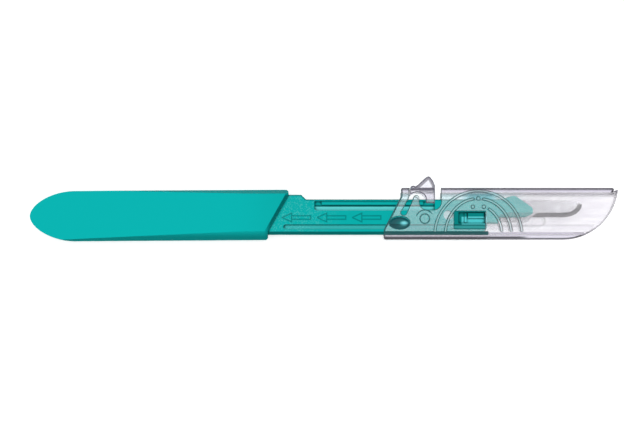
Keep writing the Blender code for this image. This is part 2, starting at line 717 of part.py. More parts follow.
def blade():
    """A flat plate whose lower front is ground to an edge on both sides, lofted by hand."""
    half = BLADE_THICKNESS / 2
    edge = blade_edge(0.0)
    shoulder = blade_edge(BLADE_BEVEL)
    point = Vector((TIP_X, edge[-1].y + HEEL_BREAK / 2))
    start = (*point, 0)
    tang_end = BLADE_REAR_X + TANG_LENGTH
    back = rounded([
        start,
        (TIP_X - POINT_LENGTH, BLADE_SPINE - POINT_DROP, POINT_RADIUS),
        (TIP_X - SPINE_KNEE, BLADE_SPINE - SPINE_KNEE_DROP, SPINE_KNEE_RADIUS),
        (TIP_X - SPINE_RUN, BLADE_SPINE, 0),
        (BLADE_REAR_X, BLADE_SPINE, TANG_CORNER),
        (BLADE_REAR_X + TANG_SLANT, TANG_BOTTOM, TANG_CORNER),
        (tang_end, TANG_BOTTOM, CHOIL_RADIUS),
        (edge[0].x - HEEL_BREAK, edge[0].y + HEEL_BREAK / 2, HEEL_BREAK),
        (edge[0].x, shoulder[0].y, 0),
    ])
    back = back[1:-1]
    shape = bmesh.new()
    top = [shape.verts.new((*corner, half)) for corner in shoulder + [point] + back]
    low = [shape.verts.new((*corner, -half)) for corner in shoulder + [point] + back]
    rim = [shape.verts.new((*corner, 0)) for corner in edge]
    shape.faces.new(top)
    shape.faces.new(low[::-1])
    count = len(edge)
    total = len(top)
    for k in range(count - 1):
        shape.faces.new((top[k], rim[k], rim[k + 1], top[k + 1]))
        shape.faces.new((rim[k], low[k], low[k + 1], rim[k + 1]))
    shape.faces.new((top[count - 1], rim[-1], top[count]))
    shape.faces.new((rim[-1], low[count - 1], low[count]))
    shape.faces.new((rim[-1], low[count], top[count]))
    for k in range(count, total - 1):
        shape.faces.new((top[k], low[k], low[k + 1], top[k + 1]))
    shape.faces.new((top[-1], low[-1], rim[0]))
    shape.faces.new((top[-1], rim[0], top[0]))
    shape.faces.new((rim[0], low[-1], low[0]))
    bmesh.ops.recalc_face_normals(shape, faces=shape.faces)
    mesh = bpy.data.meshes.new("blade")
    shape.to_mesh(mesh)
    shape.free()
    body = add_object("blade", mesh, helper=False)
    slot = extruded("blade_slot", [blade_slot_outline()], -MARGIN, MARGIN)
    boolean(body, slot)
    finished(body, material("blade_steel", (0.72, 0.73, 0.74), 0.28, metallic=1.0))
    return body


def shield_outline():
    """The side view: a slanted rear edge, straight spine and belly, and the arched front."""
    arc_x = SHIELD_FRONT_X - FRONT_ARC_RADIUS
    arc_y = SHIELD_BOTTOM + FRONT_ARC_RADIUS
    top_turn = math.asin(min(1.0, (SHIELD_TOP - arc_y) / FRONT_ARC_RADIUS))
    arc = ellipse(
        arc_x, arc_y, FRONT_ARC_RADIUS, FRONT_ARC_RADIUS, -math.pi / 2, top_turn - 0.03, math.radians(6)
    )
    slant_x = SHIELD_REAR_X + SHIELD_SLANT
    rear = rounded([
        (arc[-1].x - OUTLINE_CORNER / 2, SHIELD_TOP, OUTLINE_CORNER),
        (slant_x, SHIELD_TOP, OUTLINE_CORNER),
        (slant_x, SHIELD_TOP - SLANT_TOP_DROP, SLANT_TOP_RADIUS),
        (SHIELD_REAR_X, SHIELD_BOTTOM + SLANT_FOOT_RISE, SLANT_FOOT_RADIUS),
        (SHIELD_REAR_X, SHIELD_BOTTOM, OUTLINE_CORNER),
        (arc_x, SHIELD_BOTTOM, 0),
    ])
    return arc + rear[:-1]


def lever_arch(start_x):
    """The arch under the lever, from this station over its crown and down to the leg."""
    half = LUG_REAR_X - ARCH_X
    start = math.acos((start_x - ARCH_X) / half)
    return ellipse(ARCH_X, STEM_TOP, half, LEVER_UNDERSIDE - STEM_TOP, start, 0.0)


def lever_opening_outline():
    """One opening round the lever: a slanted slot, the web with its round top, and the deep U."""
    over = SHIELD_TOP + MARGIN
    strap_end = NECK_X - NECK_GAP
    u_rear = NECK_X + WEB_LEAD + WEB_HALF
    u_front = strap_end + OPENING_LENGTH
    web = ellipse(NECK_X + WEB_LEAD, STEM_TOP, WEB_HALF, WEB_HEIGHT, math.pi, 0.0)
    return rounded([
        (strap_end, over, 0),
        (strap_end, lever_arch(strap_end)[0].y, 0),
        (ARCH_X - (LUG_REAR_X - ARCH_X), STEM_TOP, OUTLINE_CORNER),
        (strap_end - SLOT_LEAN, SLOT_FOOT, SLOT_RADIUS),
        (strap_end - SLOT_LEAN + SLOT_WIDTH, SLOT_FOOT, SLOT_RADIUS),
        *[(point.x, point.y, 0) for point in web],
        (u_rear, OPENING_FLOOR, OPENING_RADIUS),
        (u_front, OPENING_FLOOR, OPENING_RADIUS),
        (u_front, over, 0),
    ])


def bar(name, stations, depth, radius, resolution=4):
    """A round bar through (point, share of the radius) stations at one depth."""
    curve = bpy.data.curves.new(name, "CURVE")
    curve.dimensions = "3D"
    curve.bevel_depth = radius
    curve.bevel_resolution = resolution
    curve.use_fill_caps = True
    spline = curve.splines.new("POLY")
    spline.points.add(len(stations) - 1)
    for point, (corner, scale) in zip(spline.points, stations):
        point.co = (corner.x, corner.y, depth, 1)
        point.radius = scale
    return add_object(name, curve_mesh(name, curve, Matrix()))


def ridge(name, path, side, rounded_end=False):
    """A sunk round bar along a path on the outside of the shield, tapered to a ball at its end."""
    half = RIDGE_WIDTH / 2
    radius = (half ** 2 + RIDGE_HEIGHT ** 2) / (2 * RIDGE_HEIGHT)
    depth = side * (SHIELD_HALF + RIDGE_HEIGHT - radius)
    stations = [(corner, 1.0) for corner in path]
    if rounded_end:
        ahead = (path[-1] - path[-2]).normalized()
        for degrees in (35, 65, 82):
            turn = math.radians(degrees)
            stations.append((path[-1] + ahead * radius * math.sin(turn), math.cos(turn)))
    return bar(name, stations, depth, radius)


def ridge_pieces(side):
    """Three arched ridges round one centre and the three dots between their ends."""
    x = WINDOW_START_X + RIDGE_X
    step = math.radians(7.5)
    foot_turns = [math.asin((RIDGE_FOOT - RIDGE_Y) / height) for _, height in RIDGE_RADII]
    (outer_a, outer_b), (middle_a, middle_b), (inner_a, inner_b) = RIDGE_RADII

    outer = ellipse(x, RIDGE_Y, outer_a, outer_b, foot_turns[0], math.pi - foot_turns[0], step)
    yield ridge("outer_ridge", outer, side)
    gap = math.asin(RIDGE_END_GAP / middle_a)
    left = ellipse(x, RIDGE_Y, middle_a, middle_b, math.pi - foot_turns[1], math.pi / 2 + gap, step)
    right = ellipse(x, RIDGE_Y, middle_a, middle_b, foot_turns[1], math.pi / 2 - gap, step)
    yield ridge("middle_ridge_rear", left, side, rounded_end=True)
    yield ridge("middle_ridge_front", right, side, rounded_end=True)
    start = math.acos(INNER_RIDGE_END / inner_a)
    inner = ellipse(x, RIDGE_Y, inner_a, inner_b, foot_turns[2], start, step)
    yield ridge("inner_ridge", inner, side, rounded_end=True)

    low = inner_b - DOT_DROP
    for dx, dy in ((0, middle_b), (-DOT_SPREAD, low), (DOT_SPREAD, low)):
        yield ellipsoid(
            "dot", (x + dx, RIDGE_Y + dy, side * SHIELD_HALF), (DOT_RADIUS, DOT_RADIUS, RIDGE_HEIGHT),
            rings=7, segments=14,
        )


def mark_pieces(side):
    """The dished round mark on one wall and the fine arc above it, as cutters."""
    x = SHIELD_REAR_X + MARK_X
    face = side * SHIELD_HALF
    yield ellipsoid("round_mark", (x, MARK_Y, face), (MARK_RADIUS, MARK_RADIUS, MARK_DEPTH), rings=7)
    arc = ellipse(x, MARK_Y, MARK_ARC_RADIUS, MARK_ARC_RADIUS, math.radians(45), math.radians(165))
    radius = MARK_ARC_WIDTH / 2
    yield bar("mark_arc", [(point, 1.0) for point in arc], face + side * radius / 3, radius, resolution=2)


def guide_rib(side):
    """The rail along the inside of one wall, which runs in the stem's lower groove."""
    tip = side * (STEM_HALF - GROOVE_DEPTH + GUIDE_TIP_CLEARANCE)
    root = side * (INNER_HALF + SIDE_WALL / 2)
    return box(
        "guide_rib",
        (GROOVE_REAR_X + SLIDE_TRAVEL + GUIDE_END_CLEARANCE, GUIDE_TOP - GUIDE_HEIGHT, min(tip, root)),
        (SHIELD_FRONT_X - GUIDE_END_BACK, GUIDE_TOP, max(tip, root)),
    )


def side_pad(side):
    """The low round-ended pad inside one wall, beside the tang."""
    start = NOSE_X - PAD_BACK
    low = PAD_TOP - PAD_HEIGHT
    outline = rounded([
        (start, low, PAD_CORNER), (start + PAD_LENGTH, low, PAD_HEIGHT * 0.45),
        (start + PAD_LENGTH, PAD_TOP, PAD_HEIGHT * 0.45), (start, PAD_TOP, PAD_CORNER),
    ])
    face = STEM_HALF + BUMP_HEIGHT + PAD_CLEARANCE
    faces = sorted((side * face, side * (INNER_HALF + SIDE_WALL / 2)))
    return extruded("side_pad", [outline], *faces)


def shield():
    body = extruded(
        "blade_shield", [shield_outline()], -SHIELD_HALF, SHIELD_HALF, helper=False, edge=SHIELD_EDGE
    )
    through = (-SHIELD_HALF - MARGIN, SHIELD_HALF + MARGIN)
    section = rounded([
        (CAVITY_BOTTOM, -INNER_HALF, CAVITY_BOTTOM_RADIUS), (CAVITY_TOP, -INNER_HALF, CAVITY_TOP_RADIUS),
        (CAVITY_TOP, INNER_HALF, CAVITY_TOP_RADIUS), (CAVITY_BOTTOM, INNER_HALF, CAVITY_BOTTOM_RADIUS),
    ])
    cavity = extruded("cavity", [section], SHIELD_REAR_X - MARGIN, SHIELD_FRONT_X + MARGIN, TO_YZ)
    boolean(body, cavity)
    boolean(body, joined("guide_ribs", [guide_rib(side) for side in (1, -1)]), "UNION")
    oval = ellipse(SHIELD_REAR_X + OVAL_X, OVAL_Y, OVAL_LENGTH / 2, OVAL_HEIGHT / 2)
    window = rounded([
        (WINDOW_START_X, WINDOW_TOP - WINDOW_HEIGHT, EDGE_BREAK),
        (WINDOW_START_X + WINDOW_LENGTH, WINDOW_TOP - WINDOW_HEIGHT, EDGE_BREAK),
        (WINDOW_START_X + WINDOW_LENGTH, WINDOW_TOP, EDGE_BREAK),
        (WINDOW_START_X, WINDOW_TOP, EDGE_BREAK),
    ])
    outlines = [lever_opening_outline(), oval, window]
    boolean(body, extruded("shield_openings", outlines, *through))
    for side in (1, -1):
        reach = OPENING_EDGE + OVERLAP / 2
        faces = sorted((side * (SHIELD_HALF - reach), side * (SHIELD_HALF + MARGIN)))
        rims = extruded("opening_rims", outlines, *faces, edge=reach, grow=OPENING_EDGE, facets=0)
        boolean(body, rims)
    boolean(body, joined("side_pads", [side_pad(side) for side in (1, -1)]), "UNION")
    ridges = [piece for side in (1, -1) for piece in ridge_pieces(side)]
    boolean(body, joined("finger_grip", ridges), "UNION")
    boolean(body, joined("round_marks", [piece for side in (1, -1) for piece in mark_pieces(side)]))
    finished(body, material("clear_plastic", (0.95, 0.95, 0.97), 0.05, clear=1.0), (SHIELD_REAR_X, 0, 0))
    return body


def lever():
    """The thumb lever: a plate with two arched cheeks and legs, a wedge on top, and a lug on each leg."""
    top = SHIELD_TOP
    front = LEVER_FRONT_X
    side_view = rounded([
        *[(point.x, point.y, 0) for point in lever_arch(NECK_X)],
        (LUG_REAR_X, LEVER_FOOT, LEVER_CORNER),
        (front, LEVER_FOOT, LEVER_CORNER),
        (front, top, LEVER_CORNER),
        (ARCH_X, top, 0),
        (NECK_X, top, 0),
    ])
    body = extruded(
        "release_lever", [side_view], -SHIELD_HALF, SHIELD_HALF, helper=False, edge=LEVER_EDGE
    )
    hollow = box(
        "lever_hollow", (NECK_X - MARGIN, LEVER_FOOT - MARGIN, -INNER_HALF),
        (front + MARGIN, LEVER_UNDERSIDE + OVERLAP, INNER_HALF),
    )
    boolean(body, hollow)
    wedge_view = rounded([
        (NECK_X + OVERLAP, top - WEDGE_FOOT, 0),
        (front - OVERLAP, top - WEDGE_FOOT, 0),
        (front + WEDGE_LEAN, top + WEDGE_EDGE, WEDGE_CORNER),
        (front - WEDGE_BROW_BACK, top + WEDGE_BROW_HEIGHT, WEDGE_CORNER),
        (front - WEDGE_TOP_BACK, top + WEDGE_TOP_HEIGHT, WEDGE_TOP_RADIUS),
        (front - WEDGE_NAPE_BACK, top + WEDGE_NAPE_HEIGHT, WEDGE_CORNER),
        (front - WEDGE_ROOT_BACK, top + WEDGE_ROOT_HEIGHT, WEDGE_TOP_RADIUS),
        (front - KNOT_DIP_BACK, top + KNOT_DIP_HEIGHT, WEDGE_EDGE),
        (front - KNOT_BACK, top + KNOT_HEIGHT, WEDGE_EDGE),
        (NECK_X + 2 * OVERLAP, top + KNOT_DIP_HEIGHT, 0),
    ])
    wedge = extruded("thumb_wedge", [wedge_view], -WEDGE_HALF, WEDGE_HALF, edge=WEDGE_EDGE)
    boolean(body, wedge, "UNION")
    for side in (1, -1):
        tip = side * (RAIL_FACE + LUG_CLEARANCE)
        root = side * (INNER_HALF + SIDE_WALL / 2)
        lug_foot = (LUG_REAR_X + LUG_START, LEVER_FOOT + LUG_FOOT_CLEARANCE, min(tip, root))
        lug_top = (LUG_REAR_X + LUG_WIDTH, CHANNEL_TOP - LUG_TOP_CLEARANCE, max(tip, root))
        lug = box("lug", lug_foot, lug_top)
        boolean(body, lug, "UNION")
    finished(
        body, material("clear_plastic_lever", (0.95, 0.95, 0.97), 0.05, clear=1.0),
        (NECK_X, LEVER_UNDERSIDE - NECK_PIVOT_DROP, 0),
    )
    return body


def settle():
    """An empty carries the pieces so that they lie on the floor, centred on the origin."""
    frame = bpy.data.objects.new("scalpel_frame", None)
    graph = bpy.context.evaluated_depsgraph_get()
    corners = [
        obj.matrix_world @ Vector(corner)
        for obj in PARTS.objects for corner in obj.evaluated_get(graph).bound_box
    ]
    low = Vector(min(corner[axis] for corner in corners) for axis in range(3))
    high = Vector(max(corner[axis] for corner in corners) for axis in range(3))
    for obj in list(PARTS.objects) + list(CUTTERS.objects):
        obj.parent = frame
    PARTS.objects.link(frame)
    frame.location = (-(low.x + high.x) / 2, -(low.y + high.y) / 2, -low.z)


handle()
blade()
shield()
lever()
bpy.context.view_layer.update()
settle()
bpy.context.view_layer.update()
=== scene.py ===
# %% [markdown]
# # A disposable scalpel in a clear shield
# The scalpel lies on its side on a white table. Its handle is one teal moulding, its blade is a
# small steel plate, and a clear shield with a thumb lever covers the blade. The solid model of
# those pieces comes in as a frame. New meshes could be laid over it, but its shapes are right, so
# this file gives them their surfaces and adds the table, the room, a lamp and the camera.

# %% Load the solid model
import math

import bpy
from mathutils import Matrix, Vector


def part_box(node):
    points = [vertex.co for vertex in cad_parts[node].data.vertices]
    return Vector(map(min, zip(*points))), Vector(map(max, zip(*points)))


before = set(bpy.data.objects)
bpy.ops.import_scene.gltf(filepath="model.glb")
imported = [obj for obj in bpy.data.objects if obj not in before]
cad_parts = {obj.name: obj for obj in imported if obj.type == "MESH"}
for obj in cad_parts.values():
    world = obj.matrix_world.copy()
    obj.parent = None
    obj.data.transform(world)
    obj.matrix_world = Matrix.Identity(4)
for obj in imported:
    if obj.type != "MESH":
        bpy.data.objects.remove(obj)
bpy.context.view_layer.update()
MM = 0.001
print("pieces:", sorted(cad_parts))

# %% [markdown]
# ## One set of stations
# Every pattern below is placed by millimetres along the scalpel: `x` runs from the tip of the grip
# to the shield, `y` across it from the axis of the stem, and `z` up from the middle of the handle.
# The grip's lower edge is the lowest thing across and lies half the grip's height from that axis,
# so the box of the handle gives all three zeros.

# %% Where the stations start
GRIP_HEIGHT = 15.0
handle_low, handle_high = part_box("handle")
ORIGIN = (
    handle_low.x / MM,
    handle_low.y / MM + GRIP_HEIGHT / 2,
    (handle_low.z + handle_high.z) / 2 / MM,
)
SHIELD_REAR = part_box("blade_shield")[0].x / MM - ORIGIN[0]
print("the shield starts", round(SHIELD_REAR, 1), "mm from the grip's tip")

# %% [markdown]
# ## Writing a material as sums
# A material is a net of nodes, and a pattern on it is mostly arithmetic. Each Math node could be
# written out, but sums are shorter and easier to read. `Field` stands for one output of a node, so
# that adding or multiplying two of them makes the Math nodes by itself, and `Net` holds a new
# material and adds any node by its type, its settings and its inputs.


# %% A socket that can be added and multiplied
class Field:
    """One node output, with the arithmetic that the patterns below need."""

    def __init__(self, net, socket):
        self.net = net
        self.socket = socket

    def __add__(self, other):
        return self.net.maths("ADD", self, other)

    def __sub__(self, other):
        return self.net.maths("SUBTRACT", self, other)

    def __rsub__(self, other):
        return self.net.maths("SUBTRACT", other, self)

    def __mul__(self, other):
        return self.net.maths("MULTIPLY", self, other)

    def __truediv__(self, other):
        return self.net.maths("DIVIDE", self, other)

    def __abs__(self):
        return self.net.maths("ABSOLUTE", self)

    __radd__ = __add__
    __rmul__ = __mul__


# %% A material that adds its own nodes
class Net:
    """A new material with its Principled shader, and ways to add nodes to it."""

    def __init__(self, name, **values):
        self.material = bpy.data.materials.new(name)
        self.material.use_nodes = True
        self.tree = self.material.node_tree
        self.shader = self.tree.nodes["Principled BSDF"]
        for socket, value in values.items():
            self.shader.inputs[socket.replace("_", " ")].default_value = value

    def node(self, kind, settings=(), **inputs):
        """Adds one node: its settings first, then its sockets, by name or as at0, at1 and so on."""
        made = self.tree.nodes.new(kind)
        for key, value in dict(settings).items():
            setattr(made, key, value)
        for key, value in inputs.items():
            numbered = key.startswith("at")
            self.feed(made.inputs[int(key[2:]) if numbered else key.replace("_", " ")], value)
        return made

    def feed(self, socket, value):
        """Links a field to a socket, or sets the socket to a plain value."""
        if isinstance(value, Field):
            self.tree.links.new(value.socket, socket)
        else:
            socket.default_value = value

    def into(self, socket, value):
        """Feeds a socket of the Principled shader."""
        self.feed(self.shader.inputs[socket], value)

    def send(self, made, socket):
        """Sends a node's first output to the material's Surface or Volume."""
        self.tree.links.new(made.outputs[0], self.tree.nodes["Material Output"].inputs[socket])

    def field(self, made, output=0):
        """One output of a node, ready for sums."""
        return Field(self, made.outputs[output])

    def maths(self, operation, *values):
        """A Math node."""
        named = {f"at{k}": value for k, value in enumerate(values)}
        return self.field(self.node("ShaderNodeMath", {"operation": operation}, **named))

    def least(self, first, second):
        """The smaller of two values."""
        return self.maths("MINIMUM", first, second)

    def most(self, first, *others):
        """The largest of some values."""
        for other in others:
            first = self.maths("MAXIMUM", first, other)
        return first


# %% [markdown]
# ## Knowing where a point is
# A pattern has to know where it is on the piece. Generated coordinates would stretch with the piece
# and window ones would slide as the eye moves. Object coordinates do neither, so they give the
# stations. The normal tells flat faces from slanted ones, ambient occlusion finds the inner
# corners, and noise gives grain.


# %% A material that knows its place
class Surface(Net):
    """A net with its stations in millimetres as its place, and more that a point can know."""

    def __init__(self, name, **values):
        super().__init__(name, **values)
        self.place = [part * (1 / MM) - zero for part, zero in zip(self.parts("Object"), ORIGIN)]

    def parts(self, output):
        """The x, y and z of an output of the Texture Coordinate node."""
        where = self.field(self.node("ShaderNodeTexCoord"), output)
        split = self.node("ShaderNodeSeparateXYZ", at0=where)
        return [self.field(split, k) for k in range(3)]

    def levelness(self):
        """1 where the surface lies level, and 0 where it stands upright."""
        return abs(self.parts("Normal")[2])

    def creases(self, reach_mm):
        """From 0 in the open to 1 deep in an inner corner, felt over this many millimetres."""
        settings = {"samples": 8, "only_local": True}
        made = self.node("ShaderNodeAmbientOcclusion", settings, Distance=reach_mm * MM)
        return 1.0 - self.field(made, "AO")

    def noise(self, size_mm, detail=2.0, stretch=(1, 1, 1)):
        """Soft noise about 0.5, whose blots are about this many millimetres across."""
        where = self.field(self.node("ShaderNodeTexCoord"), "Object")
        scale = [1 / MM / size_mm / s for s in stretch]
        spread = self.node("ShaderNodeVectorMath", {"operation": "MULTIPLY"}, at0=where, at1=scale)
        made = self.node("ShaderNodeTexNoise", Vector=self.field(spread), Scale=1.0, Detail=detail)
        return self.field(made, "Fac")


# %% [markdown]
# ## Masks and mixing
# A mask is 1 on one feature and 0 elsewhere. A hard one compares two numbers, and a soft one rises
# by a Map Range node, which looks more like a moulded edge. `Paint` makes both, mixes colours by
# them, and turns a height into a bump.

# %% A material that makes masks
LINE_FADE = 0.2


class Paint(Surface):
    """A surface with masks, mixed colours and a bump."""

    def bump(self, height, depth_mm, strength):
        """A height from 0 to 1, as a bump this deep, into the shader's normal."""
        made = self.node("ShaderNodeBump", Strength=strength, Distance=depth_mm * MM, Height=height)
        self.into("Normal", self.field(made))

    def mix(self, factor, first, second):
        """A colour between two, by a factor. The node's sockets 6 and 7, and 2, are for colours."""
        made = self.node("ShaderNodeMix", {"data_type": "RGBA"}, at0=factor)
        for socket, colour in ((made.inputs[6], first), (made.inputs[7], second)):
            self.feed(socket, colour if isinstance(colour, Field) else (*colour, 1.0))
        return self.field(made, 2)

    def step(self, value, start, end):
        """0 at start and 1 at end, with a smooth rise between. The start may be the larger."""
        settings = {"interpolation_type": "SMOOTHSTEP"}
        return self.field(self.node("ShaderNodeMapRange", settings, at0=value, at1=start, at2=end))

    def fall(self, value, start, end):
        """1 at start and 0 at end, with a smooth fall between."""
        return 1.0 - self.step(value, start, end)

    def above(self, value, limit):
        """1 where a value is over a limit."""
        return self.maths("GREATER_THAN", value, limit)

    def below(self, value, limit):
        """1 where a value is under a limit."""
        return self.maths("LESS_THAN", value, limit)

    def between(self, value, low, high):
        """1 from low to high."""
        return self.below(abs(value - (low + high) / 2), (high - low) / 2)

    def length(self, along, across):
        """How long a straight way is that goes this far along and across."""
        return self.maths("SQRT", along * along + across * across)

    def stroke(self, distance, half):
        """A soft line where a distance is nothing, this far to each side."""
        return self.fall(abs(distance), half, half + LINE_FADE)

    def slanted(self, level, tilt, upright):
        """1 on slanted facets, given the soft steps that leave out the level and upright ones."""
        return self.step(1.0 - level, *tilt) * self.step(level, *upright)


def wear(node, paint):
    """Puts a material on a piece of the solid model."""
    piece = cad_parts[node]
    for slot in piece.material_slots:
        slot.material = paint.material
    print(node, "wears", paint.material.name)


# %% [markdown]
# ## The teal moulding
# The handle is one teal moulding. Its grip has a fine matt grain, and the stem's flats are glossier
# and carry lighter specks next to the grip, painted glints of their textured finish. The colours
# could come from a painted image, but that has one resolution and needs the mesh unwrapped. So the
# next cells make a mask for each feature, and the last of them mixes in one colour by each mask.
# Several of these colours are painted shade and painted light.

# %% Grain, painted glint specks and gloss
GRAIN_SIZE = 0.22
SPECK_SIZE = 0.34
MOTTLE_SIZE = 2.5
GLOSS_START = (71.0, 73.0)
GLOSS_END = (82.0, 95.0)
STEM_FLAT = (2.3, 2.45)
SPECK_CUT = (0.5, 0.68)
teal = Paint("teal moulding", Specular_IOR_Level=0.04, Coat_Roughness=0.08)
x, y, z = teal.place
grain = teal.noise(GRAIN_SIZE)
# painted glints: lighter specks of the stem's textured finish
glint_specks = teal.step(teal.noise(SPECK_SIZE, detail=1.0), *SPECK_CUT)
mottle = teal.noise(MOTTLE_SIZE, detail=3.0)
glossy = teal.step(x, *GLOSS_START) * teal.fall(x, *GLOSS_END) * teal.between(abs(z), *STEM_FLAT)
print("grain of", GRAIN_SIZE, "mm, and speckle of", SPECK_SIZE, "mm up to", GLOSS_END[1], "mm")

# %% [markdown]
# ## The arrows
# Three arrows are engraved on the stem in outline and point to the rear, the way the shield slides.
# They could be cut into the mesh, but so fine a line is cheaper as a mask. A head and a shaft are
# each given by their distance, less than nothing inside them, so the lesser of the two is the whole
# arrow and its outline is where that is about nothing. `MODULO` repeats it along the stem.

# %% Arrows on the stem
ARROW_TIP = 75.6
ARROW_PITCH = 10.5
ARROW_COUNT = 3
ARROW_LENGTH = 8.6
ARROW_HEAD = 2.9
ARROW_HALF = 1.3
ARROW_SHAFT_HALF = 0.52
ARROW_Y = -0.5
ARROW_LINE = 0.17
along = teal.maths("MODULO", x - ARROW_TIP, ARROW_PITCH)
across = abs(y - ARROW_Y)
lean = ARROW_HALF / ARROW_HEAD
flank = (across - along * lean) / math.hypot(1, lean)
head = teal.most(flank, along - ARROW_HEAD)
shaft_middle = (ARROW_HEAD + ARROW_LENGTH) / 2
shaft_half = (ARROW_LENGTH - ARROW_HEAD) / 2
shaft = teal.most(across - ARROW_SHAFT_HALF, abs(along - shaft_middle) - shaft_half)
outline = teal.fall(abs(teal.least(head, shaft)), ARROW_LINE * 0.5, ARROW_LINE * 1.5)
half_run = ARROW_COUNT * ARROW_PITCH / 2
in_run = teal.below(abs(x - ARROW_TIP - half_run + ARROW_LINE), half_run)
# the bump sinks the engraved outline; the darker colour on it is painted shade
arrows = outline * in_run * teal.above(z, STEM_FLAT[0])
print(ARROW_COUNT, "arrows from", ARROW_TIP, "to", ARROW_TIP + 2 * half_run, "mm")

# %% [markdown]
# ## The troughs along the stem
# The lever's lugs run in a channel of the stem and the shield's ribs in a groove. Through the
# plastic their floors look paler than the flats, so they are painted paler as light. The rail by
# the channel throws a shadow, painted as a dark line, and the lower sides face the light and stay
# bright, with less of the painted shade. A mask finds a floor by its place across and its depth,
# which needs no cuts in the mesh.

# %% Trough floors painted paler, the rail's painted shadow and the lit sides
STEM_START = 74.0
LIT_RUN = (76.0, 126.0)
CHANNEL = (2.2, 0.6, 1.2)
GROOVE = (-3.3, 0.7, 1.6)
RAIL_SHADOW = (3.12, 0.32, 1.2)
CHANNEL_SIDE = (1.2, 1.95)
GROOVE_SIDE = (-4.5, -3.55)
SPECKLED_FLOOR = (80.0, 88.0)
FLOOR_SLACK = 0.15


def trough(paint, middle, half, depth):
    """1 on a floor, given its middle and half width across, and its distance from mid handle."""
    across = paint.between(paint.place[1], middle - half, middle + half)
    up = abs(paint.place[2])
    return across * paint.between(up, depth - FLOOR_SLACK, depth + FLOOR_SLACK)


# the groove floor near the grip also takes the painted glint specks
groove_share = 0.3 + teal.fall(x, *SPECKLED_FLOOR) * glint_specks * 0.5
# painted light: the trough floors are painted paler
floors = teal.most(trough(teal, *CHANNEL) * 0.95, trough(teal, *GROOVE) * groove_share)
floors = floors * teal.above(x, STEM_START)
# painted shadow: a dark line under the rail
rail_shadow = trough(teal, *RAIL_SHADOW) * teal.above(x, LIT_RUN[0])
lit_sides = teal.between(y, *GROOVE_SIDE) + teal.between(y, *CHANNEL_SIDE)
lit_sides = lit_sides * teal.between(x, *LIT_RUN)
print("floors from", STEM_START, "mm; their sides are lit over", LIT_RUN[1] - LIT_RUN[0], "mm")

# %% [markdown]
# ## The oval bump and the window's recess
# An oval bump on the stem keeps the shield from sliding by itself. It looks like a dark bead with a
# bright crown, so it gets painted shade that deepens towards its rim and a painted highlight on its
# crown, and its share of the way from middle to rim is worked out three times, each about a place
# of its own. The recess behind the shield's window is painted dark as shade, with a painted lit
# middle, a rectangle in a rectangle.

# %% Bump and recess
BUMP = (SHIELD_REAR + 4.75, -2.1)
BUMP_HALF = (2.85, 1.67)
BUMP_REACH = 1.08
BUMP_FOOT = 1.4
SHADE_SHIFT = (0.9, -0.2)
SHADE_RISE = (0.1, 0.9)
CROWN_HIGHLIGHT_SHIFT = (1.4, -0.1)
CROWN_HIGHLIGHT_FALL = (0.1, 0.55)
RECESS = (127.0, 136.9, -4.0, 1.4)
RECESS_LIT_MIDDLE = (129.4, 136.9, -2.7, -0.2)


def bump_share(paint, shift=(0.0, 0.0)):
    """From 0 on the middle of the oval bump to 1 on its rim, and more outside it."""
    u, v = [(paint.place[k] - (BUMP[k] + shift[k])) / BUMP_HALF[k] for k in range(2)]
    return paint.length(u, v)


def patch(paint, rear, front, low, high):
    """1 inside a rectangle of the stations."""
    return paint.between(paint.place[0], rear, front) * paint.between(paint.place[1], low, high)


dome = teal.below(bump_share(teal), BUMP_REACH) * teal.above(abs(z), BUMP_FOOT)
# painted shade on the bump, deepest towards its rim
dome_shade = teal.step(bump_share(teal, SHADE_SHIFT), *SHADE_RISE)
# painted highlight on the bump's crown
crown = teal.fall(bump_share(teal, CROWN_HIGHLIGHT_SHIFT), *CROWN_HIGHLIGHT_FALL)
# painted shade over the recess, with painted light on its middle
recess, recess_lit_middle = patch(teal, *RECESS), patch(teal, *RECESS_LIT_MIDDLE)
print("bump of", 2 * BUMP_HALF[0], "by", 2 * BUMP_HALF[1], "mm at", round(BUMP[0], 1), "mm")

# %% [markdown]
# ## Bevels and inner corners
# The bevels turn from the light, so they look darker than the flats: most on the stem, less on the
# grip and least on the nose. Lamps alone would do this more weakly than in the photograph, so the
# slanted facets are found by their normal and painted darker as shade, and the inner corners are
# found by ambient occlusion and painted darker as shade too.

# %% How dark a slanted facet is
GRIP_FRONT = (70.0, 72.5)
GRIP_FRONT_TOP = (5.8, 6.6)
NOSE_START = (138.0, 140.0)
LOWER_BEVEL = (-4.3, -6.7)
UPPER_BEVEL = (0.0, 3.0)
LOWER_DARK, UPPER_DARK, STEM_DARK, NOSE_RELIEF, LIT_RELIEF = 0.6, 0.42, 0.85, 0.45, 0.85
TEAL_TILT = (0.01, 0.12)
TEAL_UPRIGHT = (0.02, 0.2)
CORNER_REACH = 0.9
CORNER_DEPTH = (0.12, 0.5)
# painted shade: slanted facets, found by their normal, are painted darker
slant = teal.slanted(teal.levelness(), TEAL_TILT, TEAL_UPRIGHT)
# painted shade in the inner corners, found by ambient occlusion
corners = teal.step(teal.creases(CORNER_REACH), *CORNER_DEPTH)
on_grip = teal.most(
    teal.step(y, *LOWER_BEVEL) * LOWER_DARK, teal.step(y, *UPPER_BEVEL) * UPPER_DARK
)
past_grip = teal.step(x, *GRIP_FRONT) * teal.fall(y, *GRIP_FRONT_TOP)
dark = on_grip * (1.0 - past_grip) + STEM_DARK * past_grip
dark = dark - NOSE_RELIEF * teal.step(x, *NOSE_START)
dark = dark * (1.0 - LIT_RELIEF * lit_sides)
print("inner corners are felt over", CORNER_REACH, "mm")

# %% [markdown]
# ## The teal's colours
# Each row of the table below names a feature, its share and its colour. The rows are mixed in from
# the first to the last, so a later one lies over those before it.

